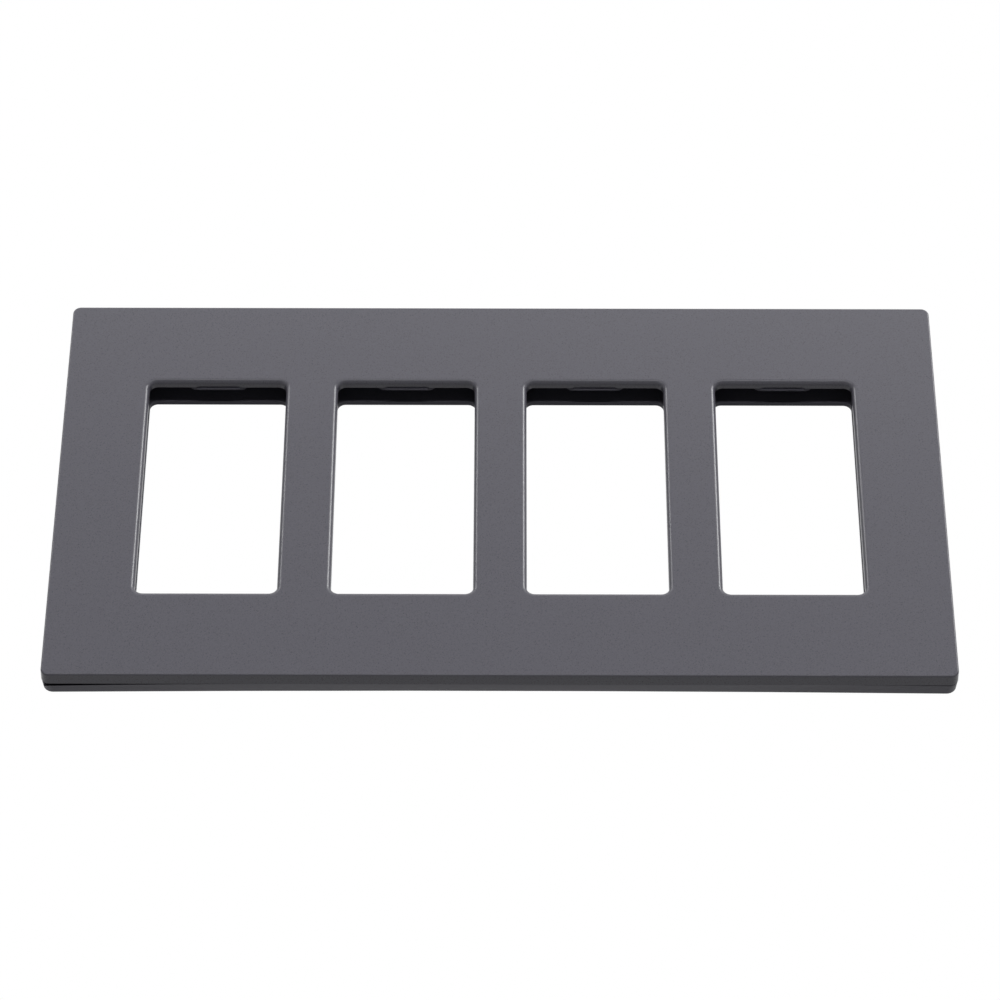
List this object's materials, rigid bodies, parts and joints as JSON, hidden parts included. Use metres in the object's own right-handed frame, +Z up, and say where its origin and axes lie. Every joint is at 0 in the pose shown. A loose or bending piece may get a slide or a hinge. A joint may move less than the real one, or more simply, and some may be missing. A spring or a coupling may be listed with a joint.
{
  "type": "screwless wall plate",
  "caption": "Wide screwless wall plate with a matte grey snap-fit cover over a screw-fixed sub plate, with tall rectangular windows for rocker-size devices.",
  "frame": {"origin": "middle of the plate on the wall plane, at the back face of the sub plate", "axes": "+X to the right along the plate, +Z up the wall, +Y into the wall; the visible face looks along -Y"},
  "size_m": [0.2122, 0.0125, 0.119],
  "materials": {
    "cover_plastic": "fine moulded texture, matte slate grey",
    "sub_plate_plastic": "fine moulded texture, matte slate grey",
    "screw_steel": "zinc plated, satin"
  },
  "bodies": {
    "fixed_plate": {"sub_plate": "sub_plate_plastic", "mounting_screw_top_1": "screw_steel", "mounting_screw_top_2": "screw_steel", "mounting_screw_top_3": "screw_steel", "mounting_screw_top_4": "screw_steel", "mounting_screw_bottom_1": "screw_steel", "mounting_screw_bottom_2": "screw_steel", "mounting_screw_bottom_3": "screw_steel", "mounting_screw_bottom_4": "screw_steel"},
    "cover": {"front_cover": "cover_plastic"}
  },
  "joints": [
    {"name": "cover_pull_off", "type": "slide", "parent": "fixed_plate", "child": "cover", "axis": [0, -1, 0], "range_m": [0, 0.04]}
  ]
}
